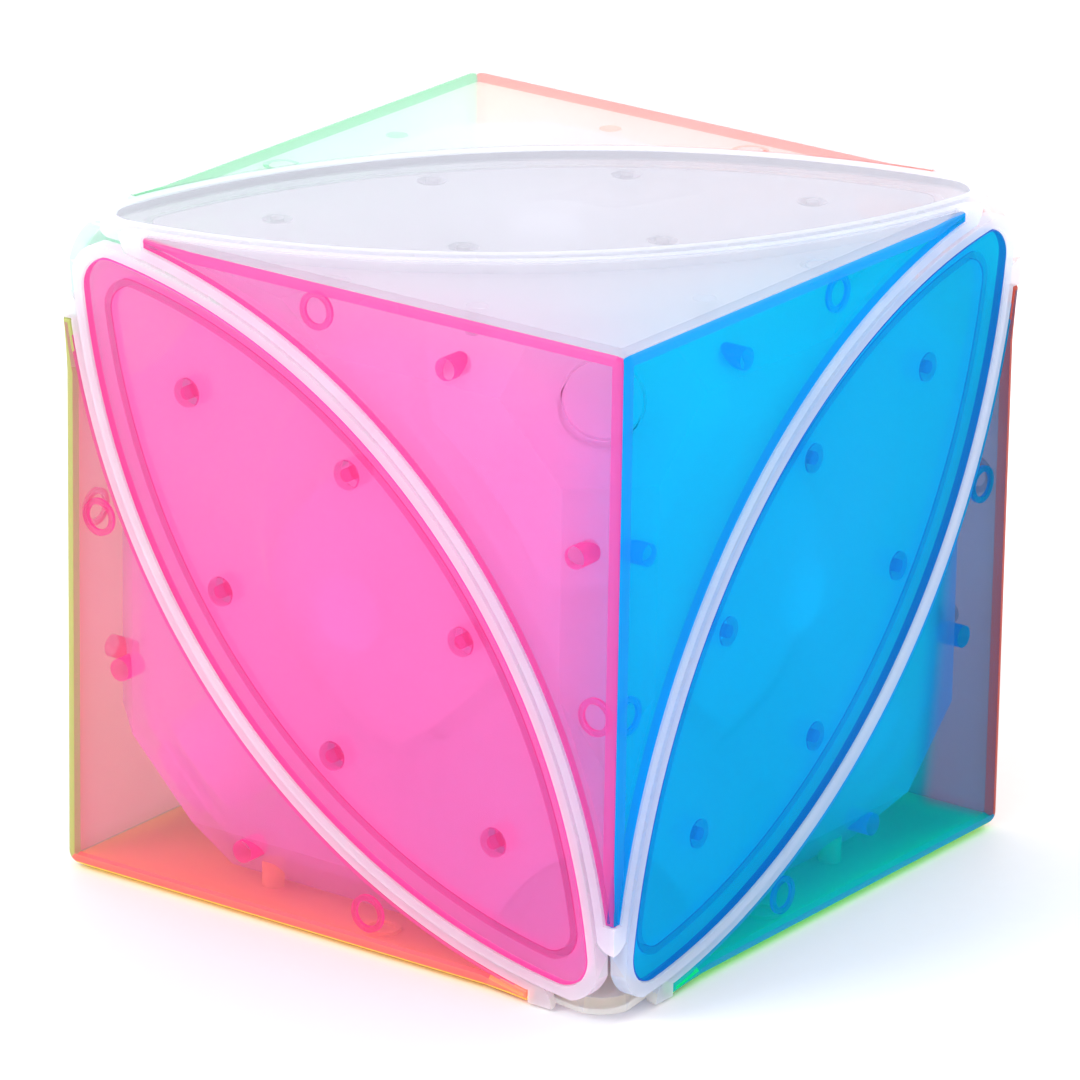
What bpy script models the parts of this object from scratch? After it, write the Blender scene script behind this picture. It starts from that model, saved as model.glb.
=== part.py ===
"""Leaf-cut corner-turning cube, a see-through twisty puzzle.

Four of the cube's eight corners turn. Each is cut free by a ball centred just beyond its vertex, so every
face shows two corner pieces with a leaf between them. The frame's origin is the cube's centre, where the
four turning axes cross, with +Z up and the faces square to the axes. Shapes are drawn in millimetres, in
the place of one master corner and one master leaf, and turned to the other places.
"""
import math

import bmesh
import bpy
from mathutils import Matrix, Vector

MM = 0.001

# Overall size
HALF = 28.0              # cube centre to a corner tile's face
LEAF_HALF = 28.25        # cube centre to a leaf's face, a little proud
TURN_GAP = 0.15          # each side of a turning cut
PAST = 1.0               # how far a cutting solid runs past what it cuts
FIT_GAP = 0.1            # between pieces that are pressed together

# The four turning cuts
CUT_CENTRE = 29.66       # each coordinate of a cut ball's centre, beyond the vertex at HALF
CUT_RADIUS = 56.66
CHORD_ALLOWANCE = 0.12   # keeps the flats of a hollow wall clear of the round wall that slides on it
FOOT_REACH = 2.2         # how far the leaf feet reach past the cuts, under the corner pieces
SIDE_CENTRE = CUT_CENTRE * math.sqrt(2)    # a leaf edge's arc centre, from the middle of the face

# Balls about the cube's centre that layer the inside
CORE_RADIUS = 18.9
CORE_HOLLOW_RADIUS = 15.0
FOOT_INNER_RADIUS = 19.4
FOOT_OUTER_RADIUS = 22.9
SHELL_INNER_RADIUS = 23.5

# Leaf pieces
LEAF_TIP = 36.35         # face centre to the leaf's rounded tip
LEAF_TIP_RADIUS = 3.6
TILE_TIP = 35.05
TILE_TIP_RADIUS = 2.6
LEAF_TILE_TOP = 28.2
LEAF_TILE_THICKNESS = 0.8
LEAF_FLOOR = 1.1         # thickness under the tile
LEAF_WALL = 1.4
LEAF_PEG_RADIUS = 1.05
LEAF_PEG_LENGTH = 2.0
PEG_END_GAP = 0.3        # under a peg in its blind hole
PEG_ROOT = 0.3           # how far a peg's root runs into the plate it hangs from
LEAF_PEG_PLACES = [(22.0, 0.0), (8.1, 9.0), (8.1, -9.0), (-8.1, 9.0), (-8.1, -9.0), (-22.0, 0.0)]
FOOT_BOSS_RADIUS = 3.2
FOOT_BOSS_ROOT = 1.5     # how far the boss runs into the foot's curved pad
LEAF_LOWEST = 5.0        # below the lowest part of any leaf piece

# Corner pieces
ARM_END = 22.0           # how far a corner's arms reach past the cube's middle
ARM_ROUND = 2.0          # radius of an arm's rounded end
TILE_ARM_END = 18.0
CORNER_RIM = 0.75        # frosted rim between the cut and the coloured tile
CORNER_TILE_THICKNESS = 1.0
MITRE_GAP = 0.07
CORNER_WALL = 1.4
PLATE_INSET = 6.5        # from a cube edge to the frosted plate under the tile
VERTEX_CHAMFER = 20.3    # sum of the three depths at the frosted plate over the vertex
CHANNEL_STOP = 3.0       # the open channel behind a cube edge ends this far short of the tile
CORNER_PEG_RADIUS = 0.9
CORNER_PEG_LENGTH = 3.0
CORNER_PEG_PLACE = (18.0, 5.2)
BOSS_RADIUS = 1.6
BOSS_BORE_RADIUS = 1.1
BOSS_LENGTH = 0.3
BOSS_PLACE = (30.8, 3.0)

# Distances along a turning axis from the cube's centre
SCREW_TIP = 12.5
STEM_BOTTOM = 21.3
HUB_FLOOR_BOTTOM = 23.9
HUB_FLOOR_TOP = 25.4
SPRING_BOTTOM = 25.9
SPRING_TOP = 30.2
WASHER_BOTTOM = 30.7
WASHER_TOP = 31.3
HEAD_BOTTOM = 31.5
HEAD_TOP = 33.4
TOWER_TOP = 34.3
ACCESS_TOP = 40.0

# The screw head's cross recess, and the screw's bevels
SLOT_LENGTH = 3.6
SLOT_WIDTH = 0.7
SLOT_DEPTH = 1.1
SCREW_BEVEL = 0.4

# Radii about a turning axis
SHAFT_RADIUS = 1.4
SHAFT_HOLE_RADIUS = 1.7
STEM_RADIUS = 2.9
HEAD_RADIUS = 2.9
SPRING_RADIUS = 2.35
SPRING_WIRE_RADIUS = 0.35
SPRING_TURNS = 3
TOWER_RADIUS = 4.5
HUB_REACH = 12.0         # wider than the hub's floor before the cuts trim it
TOWER_BORE_RADIUS = 3.3
ACCESS_RADIUS = 3.4

BALL_SEGMENTS = 48       # the turning cuts
WALL_SEGMENTS = 28       # inner walls that follow the cuts
HOLLOW_SEGMENTS = 22     # balls about the cube's centre, and the cuts between the feet
CORE_SEGMENTS = 20
ARC_STEPS = 12
TIP_STEPS = 6
PEG_SIDES = 6
ROD_SIDES = 12
SPRING_STEPS = 8         # per turn of the spring
WIRE_SIDES = 4

# The corner vertices that turn, as the signs of their coordinates, and the six faces
CORNERS = {"a": (1, -1, 1), "b": (-1, 1, 1), "c": (-1, -1, -1), "d": (1, 1, -1)}
FACES = {"top": (0, 0, 1), "bottom": (0, 0, -1), "front": (0, -1, 0),
         "back": (0, 1, 0), "right": (1, 0, 0), "left": (-1, 0, 0)}

SHARP_ANGLE = math.radians(30)
FLAT_ANGLE = math.radians(1)
WELD = 0.002             # mesh points nearer than this are one

# Colour with alpha, roughness and metallic of each material
FINISHES = {
    "tile_white": ((0.86, 0.85, 0.92, 0.75), 0.25, 0.0),
    "tile_yellow": ((0.90, 0.75, 0.08, 0.75), 0.25, 0.0),
    "tile_pink": ((1.00, 0.13, 0.45, 0.75), 0.25, 0.0),
    "tile_orange": ((0.95, 0.25, 0.08, 0.75), 0.25, 0.0),
    "tile_blue": ((0.00, 0.38, 0.90, 0.75), 0.25, 0.0),
    "tile_green": ((0.10, 0.80, 0.40, 0.75), 0.25, 0.0),
    "frosted_clear": ((0.88, 0.89, 0.95, 0.70), 0.45, 0.0),
    "inner_white": ((0.85, 0.85, 0.86, 1.0), 0.50, 0.0),
    "bright_steel": ((0.62, 0.62, 0.62, 1.0), 0.30, 1.0),
}
TILE_MATERIALS = {"top": "tile_white", "bottom": "tile_yellow", "front": "tile_pink",
                  "back": "tile_orange", "right": "tile_blue", "left": "tile_green"}


def clear_scene():
    for existing in list(bpy.data.objects):
        bpy.data.objects.remove(existing, do_unlink=True)


def make_material(name):
    """One plain plastic or metal finish."""
    colour, roughness, metallic = FINISHES[name]
    material = bpy.data.materials.new(name)
    material.use_nodes = True
    shader = material.node_tree.nodes["Principled BSDF"]
    shader.inputs["Base Color"].default_value = colour[:3] + (1.0,)
    shader.inputs["Roughness"].default_value = roughness
    shader.inputs["Metallic"].default_value = metallic
    shader.inputs["Alpha"].default_value = colour[3]
    return material


# ---------------------------------------------------------------- drawing tools, in millimetres

def object_from(bm, name):
    """Turn finished mesh work into an object, faces pointing out."""
    bmesh.ops.recalc_face_normals(bm, faces=bm.faces)
    if bm.calc_volume(signed=True) < 0:
        bmesh.ops.reverse_faces(bm, faces=bm.faces)
    mesh = bpy.data.meshes.new(name)
    bm.to_mesh(mesh)
    bm.free()
    obj = bpy.data.objects.new(name, mesh)
    bpy.context.scene.collection.objects.link(obj)
    return obj


def loft(low_ring, high_ring, name="loft"):
    """A closed solid between two rings with the same number of points."""
    bm = bmesh.new()
    low = [bm.verts.new(point) for point in low_ring]
    high = [bm.verts.new(point) for point in high_ring]
    bm.faces.new(low)
    bm.faces.new(high)
    count = len(low)
    for i in range(count):
        j = (i + 1) % count
        bm.faces.new((low[i], low[j], high[j], high[i]))
    return object_from(bm, name)


def prism(outline, bottom, top, name="prism"):
    """An upright solid over a flat outline of (x, y) points."""
    return loft([(x, y, bottom) for x, y in outline], [(x, y, top) for x, y in outline], name)


def ball(centre, radius, segments=BALL_SEGMENTS):
    """A ball, its poles on the line from the cube's centre or, at the centre, on the master leaf's length."""
    bm = bmesh.new()
    bmesh.ops.create_uvsphere(bm, u_segments=segments, v_segments=segments // 2, radius=radius)
    centre = Vector(centre)
    pole = centre if centre.length > 0 else Vector((1, 1, 0))
    bm.transform(Matrix.Translation(centre) @ pole.to_track_quat("Z", "Y").to_matrix().to_4x4())
    return object_from(bm, "ball")


def cut_ball(corner, radius, segments=BALL_SEGMENTS):
    """The ball that frees one corner's layer, at a chosen radius."""
    return ball([sign * CUT_CENTRE for sign in CORNERS[corner]], radius, segments)


def turned(profile, axis, sides):
    """A solid turned about a line through the origin, from a closed profile of (radius, distance)."""
    bm = bmesh.new()
    points = [bm.verts.new((radius, 0, distance)) for radius, distance in profile]
    edges = [bm.edges.new((points[i], points[(i + 1) % len(points)])) for i in range(len(points))]
    bmesh.ops.spin(bm, geom=points + edges, cent=(0, 0, 0), axis=(0, 0, 1),
                   angle=2 * math.pi, steps=sides, use_duplicate=False)
    bmesh.ops.remove_doubles(bm, verts=bm.verts, dist=0.001)
    flat = [face for face in bm.faces if face.calc_area() < 1e-9]
    bmesh.ops.delete(bm, geom=flat, context="FACES_ONLY")
    bm.transform(Vector(axis).to_track_quat("Z", "Y").to_matrix().to_4x4())
    return object_from(bm, "turned")


def rod(radius, start, end, axis=(0, 0, 1), sides=ROD_SIDES):
    """A round bar about a line through the origin."""
    return turned([(0, start), (radius, start), (radius, end), (0, end)], axis, sides)


def post(place, radius, bottom, top, sides=PEG_SIDES):
    """An upright round post standing at an (x, y) place."""
    turns = [2 * math.pi * (i + 0.5) / sides for i in range(sides)]
    outline = [(place[0] + radius * math.cos(t), place[1] + radius * math.sin(t)) for t in turns]
    return prism(outline, bottom, top, "post")


def combine(body, operation, tools):
    """Join, cut or trim a body with other solids, which are used up."""
    for tool in tools:
        modifier = body.modifiers.new(operation, "BOOLEAN")
        modifier.operation = operation
        modifier.solver = "EXACT"
        modifier.object = tool
        depsgraph = bpy.context.evaluated_depsgraph_get()
        result = bpy.data.meshes.new_from_object(body.evaluated_get(depsgraph))
        body.modifiers.clear()
        body.data = result
        bpy.data.objects.remove(tool, do_unlink=True)
    return body


def cut(body, *tools):
    return combine(body, "DIFFERENCE", tools)


def trim(body, *tools):
    return combine(body, "INTERSECT", tools)


def join(body, *tools):
    return combine(body, "UNION", tools)


# ---------------------------------------------------------------- the leaf, drawn on the top face

def lens_outline(tip, tip_radius):
    """A leaf's outline: two long arcs met by round tips, with its length along the x = y diagonal."""
    tip_centre = tip - tip_radius
    side_radius = math.hypot(SIDE_CENTRE, tip_centre) + tip_radius
    lean = math.atan2(SIDE_CENTRE, tip_centre)
    arcs = [(0, -SIDE_CENTRE, side_radius, lean, math.pi - lean, ARC_STEPS),
            (-tip_centre, 0, tip_radius, math.pi - lean, math.pi + lean, TIP_STEPS),
            (0, SIDE_CENTRE, side_radius, math.pi + lean, 2 * math.pi - lean, ARC_STEPS),
            (tip_centre, 0, tip_radius, -lean, lean, TIP_STEPS)]
    outline = []
    for along, across, radius, first, last, count in arcs:
        for i in range(count):
            angle = first + (last - first) * i / count
            outline.append(on_leaf(along + radius * math.cos(angle), across + radius * math.sin(angle)))
    return outline


def on_leaf(along, across):
    """A place on the top face from its distances along and across the leaf."""
    return ((along - across) / math.sqrt(2), (along + across) / math.sqrt(2))


def leaf_block(inset, top, inner_radius, segments):
    """The leaf's solid, drawn in by an inset from every cut."""
    block = prism(lens_outline(LEAF_TIP - inset, LEAF_TIP_RADIUS - inset), LEAF_LOWEST, top, "leaf")
    own_radius = CUT_RADIUS - TURN_GAP - inset
    other_radius = CUT_RADIUS + TURN_GAP + CHORD_ALLOWANCE + inset
    trim(block, cut_ball("a", own_radius, segments), cut_ball("b", own_radius, segments))
    cut(block, cut_ball("c", other_radius, segments), cut_ball("d", other_radius, segments))
    return cut(block, ball((0, 0, 0), inner_radius, HOLLOW_SEGMENTS))


def make_leaf_base():
    """Frosted shell with a rim round a shallow tray for the tile, open towards the core."""
    tray_floor = LEAF_TILE_TOP - LEAF_TILE_THICKNESS - FIT_GAP
    base = leaf_block(0, LEAF_HALF, SHELL_INNER_RADIUS, BALL_SEGMENTS)
    tray = lens_outline(TILE_TIP + FIT_GAP, TILE_TIP_RADIUS + FIT_GAP)
    cut(base, prism(tray, tray_floor, LEAF_HALF + PAST))
    cut(base, leaf_block(LEAF_WALL, tray_floor - LEAF_FLOOR, FOOT_INNER_RADIUS, WALL_SEGMENTS))
    hole_end = LEAF_TILE_TOP - LEAF_TILE_THICKNESS - LEAF_PEG_LENGTH - PEG_END_GAP
    for along, across in LEAF_PEG_PLACES:
        cut(base, post(on_leaf(along, across), LEAF_PEG_RADIUS + FIT_GAP, hole_end, tray_floor + PAST))
    return base


def make_leaf_tile():
    """Coloured plate, with six pegs that press into the base."""
    bottom = LEAF_TILE_TOP - LEAF_TILE_THICKNESS
    tile = prism(lens_outline(TILE_TIP, TILE_TIP_RADIUS), bottom, LEAF_TILE_TOP, "leaf_tile")
    for along, across in LEAF_PEG_PLACES:
        peg_end = bottom - LEAF_PEG_LENGTH
        join(tile, post(on_leaf(along, across), LEAF_PEG_RADIUS, peg_end, bottom + PEG_ROOT))
    return tile


def make_leaf_foot():
    """The foot under a leaf: a curved pad that reaches under both neighbouring corners."""
    own_radius = CUT_RADIUS + FOOT_REACH - TURN_GAP
    other_radius = CUT_RADIUS + FOOT_REACH + TURN_GAP + CHORD_ALLOWANCE
    half = FOOT_OUTER_RADIUS
    slab = [(-half, -half), (half, -half), (half, half), (-half, half)]
    foot = prism(slab, LEAF_LOWEST, half + PAST, "leaf_foot")
    trim(foot, ball((0, 0, 0), FOOT_OUTER_RADIUS, HOLLOW_SEGMENTS))
    trim(foot, *(cut_ball(corner, own_radius, HOLLOW_SEGMENTS) for corner in "ab"))
    cut(foot, ball((0, 0, 0), FOOT_INNER_RADIUS, HOLLOW_SEGMENTS))
    cut(foot, *(cut_ball(corner, other_radius, HOLLOW_SEGMENTS) for corner in "cd"))
    boss_top = LEAF_TILE_TOP - LEAF_TILE_THICKNESS - LEAF_FLOOR - 2 * FIT_GAP
    return join(foot, post((0, 0), FOOT_BOSS_RADIUS, FOOT_OUTER_RADIUS - FOOT_BOSS_ROOT, boss_top, ROD_SIDES))


# ---------------------------------------------------------------- the corner, drawn at vertex "a"

def from_vertex(a, b, depth):
    """A place near the master vertex: two distances from its edges on the top face, and a depth."""
    return (HALF - a, -HALF + b, HALF - depth)


def third_turn(turns):
    """Turn about the master corner's axis."""
    return Matrix.Rotation(turns * 2 * math.pi / 3, 4, Vector(CORNERS["a"]))


def around_corner(make):
    """Three solids placed round the master corner by thirds of a turn."""
    solids = []
    for turns in range(3):
        solid = make()
        solid.data.transform(third_turn(turns))
        solids.append(solid)
    return solids


def tile_arc(inset, end):
    """The tile's concave edge, in distances from the vertex's two edges."""
    centre = HALF + CUT_CENTRE
    radius = CUT_RADIUS + TURN_GAP + CORNER_RIM + FIT_GAP - inset
    reach = math.acos((centre - HALF - end) / radius)
    first = math.pi + reach
    last = 1.5 * math.pi - reach
    angles = [first + (last - first) * i / ARC_STEPS for i in range(ARC_STEPS + 1)]
    return [(centre + radius * math.cos(t), centre + radius * math.sin(t)) for t in angles]


def tile_ring(edge, inset, end, depth):
    """The tile's outline at a depth, its straight sides moved in from the cube's edges."""
    flat = [(edge, edge), (HALF + end, edge)] + tile_arc(inset, end) + [(edge, HALF + end)]
    return [from_vertex(a, b, depth) for a, b in flat]


def make_corner_tile():
    """Coloured plate for one face of a corner, mitred at the cube's edges, with pegs and bosses below."""
    thickness = CORNER_TILE_THICKNESS
    tile = loft(tile_ring(MITRE_GAP + thickness, 0, TILE_ARM_END, thickness),
                tile_ring(MITRE_GAP, 0, TILE_ARM_END, 0), "corner_tile")
    under = HALF - thickness
    for a, b in (CORNER_PEG_PLACE, CORNER_PEG_PLACE[::-1]):
        place = from_vertex(a, b, 0)[:2]
        join(tile, post(place, CORNER_PEG_RADIUS, under - CORNER_PEG_LENGTH, under + PEG_ROOT))
    for a, b in (BOSS_PLACE, BOSS_PLACE[::-1]):
        place = from_vertex(a, b, 0)[:2]
        boss = post(place, BOSS_RADIUS, under - BOSS_LENGTH, under + PEG_ROOT)
        join(tile, cut(boss, post(place, BOSS_BORE_RADIUS, under - BOSS_LENGTH - PAST, under)))
    return tile


def tile_pocket():
    """The room that one tile takes, open outwards and past the cube's edges."""
    return loft(tile_ring(-PAST, FIT_GAP, TILE_ARM_END + FIT_GAP, CORNER_TILE_THICKNESS + FIT_GAP),
                tile_ring(-PAST, FIT_GAP, TILE_ARM_END + FIT_GAP, -PAST), "pocket")


def peg_holes():
    """The two holes that one tile's pegs press into, as one cutter."""
    hole_radius = CORNER_PEG_RADIUS + FIT_GAP
    bottom = HALF - CORNER_TILE_THICKNESS - CORNER_PEG_LENGTH - PEG_END_GAP
    places = [from_vertex(a, b, 0)[:2] for a, b in (CORNER_PEG_PLACE, CORNER_PEG_PLACE[::-1])]
    first, second = (post(place, hole_radius, bottom, HALF) for place in places)
    return join(first, second)


def edge_channel():
    """The room behind one cube edge, between the two tiles and the frosted plate."""
    sum_of_depths = PLATE_INSET + CORNER_TILE_THICKNESS + FIT_GAP
    far = sum_of_depths + PAST
    section = [(-PAST, -PAST), (far, -PAST), (-PAST, far)]
    end = HALF + TILE_ARM_END - CHANNEL_STOP
    channel = loft([from_vertex(-2 * PAST, b, depth) for b, depth in section],
                   [from_vertex(end, b, depth) for b, depth in section], "channel")
    wall_radius = CUT_RADIUS + TURN_GAP + CORNER_WALL
    return cut(channel, *(cut_ball(corner, wall_radius, WALL_SEGMENTS) for corner in "bc"))


def vertex_cutter(sum_of_depths):
    """Everything nearer the master vertex than a plane across it."""
    far = sum_of_depths + 2 * PAST
    bm = bmesh.new()
    places = [(-PAST, -PAST, -PAST), (far, -PAST, -PAST), (-PAST, far, -PAST), (-PAST, -PAST, far)]
    corners = [bm.verts.new(from_vertex(*place)) for place in places]
    for missing in range(4):
        bm.faces.new([corner for i, corner in enumerate(corners) if i != missing])
    return object_from(bm, "vertex")


def part_cube(reach, face_depth):
    """A cube reaching a distance past the middle, away from the master vertex."""
    low, high = -reach, HALF - face_depth
    outline = [(low, -high), (high, -high), (high, reach), (low, reach)]
    return prism(outline, low, high, "corner")


def free_of_cuts(block, ball_radius, segments):
    """Trim a block to what lies outside the other three cuts."""
    return cut(block, *(cut_ball(other, ball_radius, segments) for other in "bcd"))


def arm_ends():
    """Rounded ends of the three arms, within the cube."""
    def arm_end():
        return ball((HALF, -HALF, ARM_ROUND - ARM_END), ARM_ROUND, ROD_SIDES)
    first, second, third = around_corner(arm_end)
    return trim(join(first, second, third), part_cube(ARM_END, 0))


def corner_hollow():
    """The room inside the corner's frosted shell, open towards the core."""
    face_depth = CORNER_TILE_THICKNESS + FIT_GAP + CORNER_WALL
    wall_radius = CUT_RADIUS + TURN_GAP + CORNER_WALL
    hollow = free_of_cuts(part_cube(HALF, face_depth), wall_radius, WALL_SEGMENTS)
    cut(hollow, vertex_cutter(VERTEX_CHAMFER + CORNER_WALL * math.sqrt(3)))
    sum_of_depths = PLATE_INSET + CORNER_TILE_THICKNESS + FIT_GAP + CORNER_WALL * math.sqrt(2)
    far = sum_of_depths + PAST
    section = [(-PAST, -PAST), (far, -PAST), (-PAST, far)]

    def bevel_cutter():
        return loft([from_vertex(-PAST, b, depth) for b, depth in section],
                    [from_vertex(2 * HALF + PAST, b, depth) for b, depth in section])
    return cut(hollow, *around_corner(bevel_cutter))


def make_corner_base():
    """Frosted shell of a corner: rims along the cuts, bevelled plates under the tiles, open below."""
    base = join(part_cube(ARM_END - ARM_ROUND, 0), arm_ends())
    free_of_cuts(base, CUT_RADIUS + TURN_GAP + CHORD_ALLOWANCE, BALL_SEGMENTS)
    cut(base, ball((0, 0, 0), SHELL_INNER_RADIUS, HOLLOW_SEGMENTS))
    cut(base, *around_corner(tile_pocket))
    cut(base, *around_corner(edge_channel))
    cut(base, vertex_cutter(VERTEX_CHAMFER))
    cut(base, corner_hollow())
    cut(base, *around_corner(peg_holes))
    return cut(base, rod(ACCESS_RADIUS, TOWER_TOP, ACCESS_TOP, CORNERS["a"]))


def make_corner_hub():
    """The plug in a corner's open bottom, with the spring's tower and the stem about the screw."""
    reach = HUB_REACH
    span = [(-reach, -reach), (reach, -reach), (reach, reach), (-reach, reach)]
    hub = prism(span, HUB_FLOOR_BOTTOM, HUB_FLOOR_TOP, "corner_hub")
    hub.data.transform(Vector(CORNERS["a"]).to_track_quat("Z", "Y").to_matrix().to_4x4())
    wall = CUT_RADIUS + TURN_GAP + CORNER_WALL + FIT_GAP + CHORD_ALLOWANCE
    cut(hub, *(cut_ball(other, wall, WALL_SEGMENTS) for other in "bcd"))
    axis = CORNERS["a"]
    join(hub, rod(TOWER_RADIUS, HUB_FLOOR_TOP - PEG_ROOT, TOWER_TOP, axis))
    join(hub, rod(STEM_RADIUS, STEM_BOTTOM, HUB_FLOOR_BOTTOM + PEG_ROOT, axis))
    cut(hub, rod(TOWER_BORE_RADIUS, HUB_FLOOR_TOP, TOWER_TOP + PAST, axis))
    return cut(hub, rod(SHAFT_HOLE_RADIUS, STEM_BOTTOM - PAST, HUB_FLOOR_TOP + PAST, axis))


def make_screw():
    """Tension screw with a cross recess."""
    axis = CORNERS["a"]
    bevel = SCREW_BEVEL
    profile = [(0, SCREW_TIP), (SHAFT_RADIUS - bevel, SCREW_TIP), (SHAFT_RADIUS, SCREW_TIP + bevel),
               (SHAFT_RADIUS, HEAD_BOTTOM), (HEAD_RADIUS, HEAD_BOTTOM), (HEAD_RADIUS, HEAD_TOP - bevel),
               (HEAD_RADIUS - bevel, HEAD_TOP), (0, HEAD_TOP)]
    screw = turned(profile, axis, ROD_SIDES)
    across, along = SLOT_WIDTH / 2, SLOT_LENGTH / 2
    slot = [(-along, -across), (along, -across), (along, across), (-along, across)]
    for outline in (slot, [(y, x) for x, y in slot][::-1]):
        recess = prism(outline, HEAD_TOP - SLOT_DEPTH, HEAD_TOP + PAST, "recess")
        recess.data.transform(Vector(axis).to_track_quat("Z", "Y").to_matrix().to_4x4())
        cut(screw, recess)
    return screw


def make_washer():
    profile = [(SHAFT_HOLE_RADIUS, WASHER_BOTTOM), (HEAD_RADIUS, WASHER_BOTTOM),
               (HEAD_RADIUS, WASHER_TOP), (SHAFT_HOLE_RADIUS, WASHER_TOP)]
    return turned(profile, CORNERS["a"], ROD_SIDES)


def make_spring():
    """Coil spring about the master corner's axis."""
    turn_to_axis = Vector(CORNERS["a"]).to_track_quat("Z", "Y")
    count = SPRING_TURNS * SPRING_STEPS
    climb = (SPRING_TOP - SPRING_BOTTOM - 2 * SPRING_WIRE_RADIUS) / count
    bm = bmesh.new()
    rings = []
    for i in range(count + 1):
        angle = 2 * math.pi * i / SPRING_STEPS
        outward = Vector((math.cos(angle), math.sin(angle), 0))
        centre = outward * SPRING_RADIUS + Vector((0, 0, SPRING_BOTTOM + SPRING_WIRE_RADIUS + climb * i))
        ring = []
        for k in range(WIRE_SIDES):
            around = 2 * math.pi * k / WIRE_SIDES
            offset = outward * math.cos(around) + Vector((0, 0, math.sin(around)))
            ring.append(bm.verts.new(turn_to_axis @ (centre + offset * SPRING_WIRE_RADIUS)))
        rings.append(ring)
    for low, high in zip(rings, rings[1:]):
        for k in range(WIRE_SIDES):
            j = (k + 1) % WIRE_SIDES
            bm.faces.new((low[k], low[j], high[j], high[k]))
    bm.faces.new(rings[0])
    bm.faces.new(rings[-1])
    return object_from(bm, "spring")


# ---------------------------------------------------------------- the core

def make_core():
    """Hollow ball that takes the four screws."""
    core = ball((0, 0, 0), CORE_RADIUS, CORE_SEGMENTS)
    cut(core, ball((0, 0, 0), CORE_HOLLOW_RADIUS, CORE_SEGMENTS // 2))
    for signs in CORNERS.values():
        cut(core, rod(SHAFT_HOLE_RADIUS, SCREW_TIP - PAST, CORE_RADIUS + PAST, signs))
    return core


# ---------------------------------------------------------------- placing the pieces

def corner_turn(signs):
    """The half turn, or none, that takes the master corner to another turning corner."""
    master = CORNERS["a"]
    return Matrix.Diagonal([signs[i] * master[i] for i in range(3)] + [1])


def leaf_turn(normal):
    """The turn that takes the master leaf from the top face to another face."""
    normal = Vector(normal)
    ends = [Vector((x, y, z)) for x in (-1, 1) for y in (-1, 1) for z in (-1, 1)
            if x * y * z > 0 and Vector((x, y, z)).dot(normal) > 0]
    along = (ends[1] - ends[0]).normalized()
    master_along = Vector((1, 1, 0)).normalized()
    target = Matrix((along, normal.cross(along), normal)).transposed()
    master = Matrix((master_along, Vector((0, 0, 1)).cross(master_along), Vector((0, 0, 1)))).transposed()
    return (target @ master.transposed()).to_4x4()


def face_name(direction):
    """The face that a direction points to."""
    return max(FACES, key=lambda name: Vector(FACES[name]).dot(direction))


def finish_mesh(obj):
    """Take a master's mesh in metres, tidied and smooth shaded, and drop its object."""
    mesh = obj.data
    bpy.data.objects.remove(obj, do_unlink=True)
    bm = bmesh.new()
    bm.from_mesh(mesh)
    bmesh.ops.remove_doubles(bm, verts=bm.verts, dist=WELD)
    bmesh.ops.dissolve_degenerate(bm, edges=bm.edges, dist=WELD)
    bmesh.ops.dissolve_limit(bm, angle_limit=FLAT_ANGLE, verts=bm.verts, edges=bm.edges)
    bm.transform(Matrix.Scale(MM, 4))
    bm.to_mesh(mesh)
    bm.free()
    mesh.shade_smooth()
    mesh.set_sharp_from_angle(angle=SHARP_ANGLE)
    return mesh


def place(name, mesh, turn, material):
    """One piece: a copy of a master's mesh, turned to its place about the cube's centre."""
    piece = bpy.data.objects.new(name, mesh.copy())
    piece.data.name = name
    bpy.context.scene.collection.objects.link(piece)
    piece.matrix_world = turn
    piece.data.materials.clear()
    piece.data.materials.append(material)


def main():
    clear_scene()
    materials = {name: make_material(name) for name in FINISHES}
    place("core", finish_mesh(make_core()), Matrix.Identity(4), materials["inner_white"])

    corner_kinds = [("corner_base", make_corner_base, "frosted_clear"),
                    ("corner_hub", make_corner_hub, "inner_white"),
                    ("tension_screw", make_screw, "bright_steel"),
                    ("washer", make_washer, "bright_steel"),
                    ("spring", make_spring, "bright_steel")]
    for kind, make, finish in corner_kinds:
        mesh = finish_mesh(make())
        for corner, signs in CORNERS.items():
            place(f"{kind}_{corner}", mesh, corner_turn(signs), materials[finish])

    tile = finish_mesh(make_corner_tile())
    for corner, signs in CORNERS.items():
        for turns in range(3):
            turn = corner_turn(signs) @ third_turn(turns)
            face = face_name(turn.to_3x3() @ Vector(FACES["top"]))
            place(f"corner_tile_{corner}_{face}", tile, turn, materials[TILE_MATERIALS[face]])

    base, foot, leaf_tile = (finish_mesh(make()) for make in (make_leaf_base, make_leaf_foot, make_leaf_tile))
    for face, normal in FACES.items():
        turn = leaf_turn(normal)
        place(f"leaf_base_{face}", base, turn, materials["frosted_clear"])
        place(f"leaf_foot_{face}", foot, turn, materials["inner_white"])
        place(f"leaf_tile_{face}", leaf_tile, turn, materials[TILE_MATERIALS[face]])


main()
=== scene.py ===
"""Looks for the leaf-cut corner-turning cube: see-through jelly colours over frosted shells.

Every CAD piece is drawn again here at full smoothness, with rounded edges, in millimetres and in the place
of one master corner and one master leaf, then turned to its places in the frame and scaled to metres.
"""
import math

import bmesh
import bpy
from mathutils import Matrix, Vector


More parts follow.
